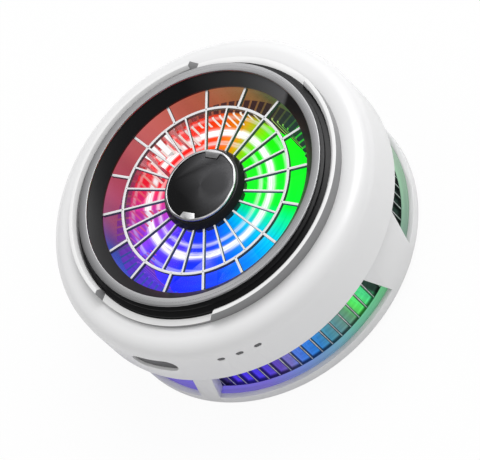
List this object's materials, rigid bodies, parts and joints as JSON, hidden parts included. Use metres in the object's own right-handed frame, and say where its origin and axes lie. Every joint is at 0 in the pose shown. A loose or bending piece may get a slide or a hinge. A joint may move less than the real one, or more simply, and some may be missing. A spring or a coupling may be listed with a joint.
{
  "type": "phone cooling fan",
  "caption": "Round magnetic phone cooler with a caged fan, side vents over radial fins, a cold plate, a push button and a cable inlet.",
  "frame": {"origin": "on the fan's axis at the back contact face that lies on the phone", "axes": "+Z out of the fan's mouth, -Y towards the mode button, +X to the right when the button faces the viewer"},
  "size_m": [0.0696, 0.0696, 0.03],
  "materials": {
    "shell_white": "gloss",
    "base_white": "gloss",
    "collar_satin": "satin",
    "bezel_black": "satin",
    "trim_silver": "polished",
    "guard_white": "gloss",
    "hub_black": "satin",
    "rim_silver": "polished",
    "cap_spun_black": "circular brushed",
    "clamp_black": "matt",
    "screw_steel": "plated",
    "screw_black": "blackened",
    "light_clear": "frosted",
    "board_white": "solder mask",
    "lamp_body": "moulded",
    "sink_aluminium": "extruded",
    "ceramic_white": "fired",
    "pellet_metal": "sintered",
    "foam_grey": "moulded",
    "plate_aluminium": "turned",
    "pad_rubber": "silicone",
    "magnet_plated": "nickel plated",
    "backing_steel": "rolled",
    "seat_black": "moulded",
    "tube_brass": "turned",
    "bearing_bronze": "sintered",
    "pad_nylon": "moulded",
    "core_steel": "laminated",
    "winding_copper": "enamelled",
    "board_green": "solder mask",
    "wheel_clear": "translucent",
    "yoke_steel": "drawn",
    "magnet_dark": "bonded ferrite",
    "shaft_steel": "ground",
    "inlet_steel": "plated",
    "inlet_black": "moulded",
    "switch_black": "moulded",
    "plunger_white": "moulded",
    "button_grey": "satin",
    "lens_smoke": "smoked",
    "chip_black": "moulded",
    "choke_grey": "ferrite",
    "capacitor_can": "drawn"
  },
  "bodies": {
    "case": {"front_shell": "shell_white", "rear_shell": "base_white", "crown_collar": "collar_satin", "bezel_body": "bezel_black", "trim_ring": "trim_silver", "wire_guard": "guard_white", "hub_housing": "hub_black", "hub_rim": "rim_silver", "hub_cap": "cap_spun_black", "hub_clamp": "clamp_black", "hub_screw": "screw_steel", "light_ring": "light_clear", "lamp_board": "board_white", "colour_lamps": "lamp_body", "heatsink": "sink_aluminium", "hot_ceramic": "ceramic_white", "cold_ceramic": "ceramic_white", "module_pellets": "pellet_metal", "module_frame": "foam_grey", "cold_plate": "plate_aluminium", "back_pad": "pad_rubber", "magnet_segments": "magnet_plated", "magnet_backing": "backing_steel", "motor_seat": "seat_black", "motor_screws": "screw_steel", "bearing_tube": "tube_brass", "sleeve_bearing": "bearing_bronze", "thrust_pad": "pad_nylon", "stator_core": "core_steel", "stator_windings": "winding_copper", "motor_board": "board_green", "main_board": "board_green", "board_screws": "screw_steel", "inlet_shell": "inlet_steel", "inlet_core": "inlet_black", "button_switch": "switch_black", "lamp_lenses": "lens_smoke", "level_lamps": "lamp_body", "control_chip": "chip_black", "power_choke": "choke_grey", "board_capacitors": "capacitor_can", "case_screws": "screw_black"},
    "rotor": {"fan_wheel": "wheel_clear", "rotor_yoke": "yoke_steel", "rotor_magnet": "magnet_dark", "fan_shaft": "shaft_steel"},
    "button": {"mode_button": "button_grey", "switch_plunger": "plunger_white"}
  },
  "joints": [
    {"name": "fan_spin", "type": "hinge", "parent": "case", "child": "rotor", "pos_m": [0, 0, 0], "axis": [0, 0, 1], "continuous": true},
    {"name": "mode_button_press", "type": "slide", "parent": "case", "child": "button", "axis": [0, 1, 0], "range_m": [0, 0.0004], "stiffness_N_per_m": 6000}
  ]
}
